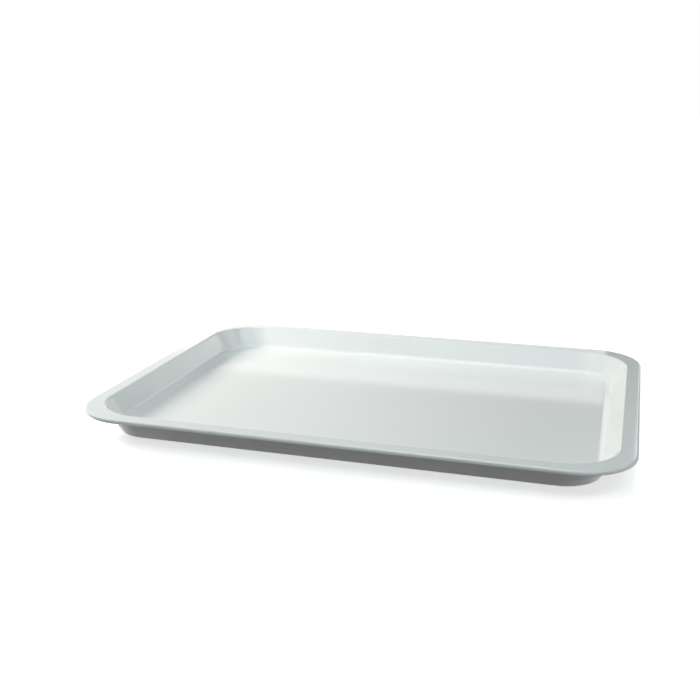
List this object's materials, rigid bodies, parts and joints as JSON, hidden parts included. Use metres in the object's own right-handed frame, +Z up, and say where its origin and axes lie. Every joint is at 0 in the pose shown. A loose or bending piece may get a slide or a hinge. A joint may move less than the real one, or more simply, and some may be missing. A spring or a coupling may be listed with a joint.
{
  "type": "flat paint roller tray",
  "caption": "Shallow flat-bottomed rectangular tray with sloping walls, rounded corners and a flat rim with a turned-down lip, on non-slip pads.",
  "frame": {"origin": "centre of the tray on the surface it rests on, under the pads", "axes": "+X along the tray's length, +Y along its width, +Z up, out of the open side"},
  "size_m": [0.4, 0.3, 0.021],
  "materials": {
    "gloss_white": "gloss white moulded plastic, walls and rim polished, floor a fine satin grain",
    "pad_rubber": "matt grey non-slip rubber"
  },
  "bodies": {
    "root": {"tray": "gloss_white", "pad_front_left": "pad_rubber", "pad_front_right": "pad_rubber", "pad_back_left": "pad_rubber", "pad_back_right": "pad_rubber"}
  },
  "joints": []
}
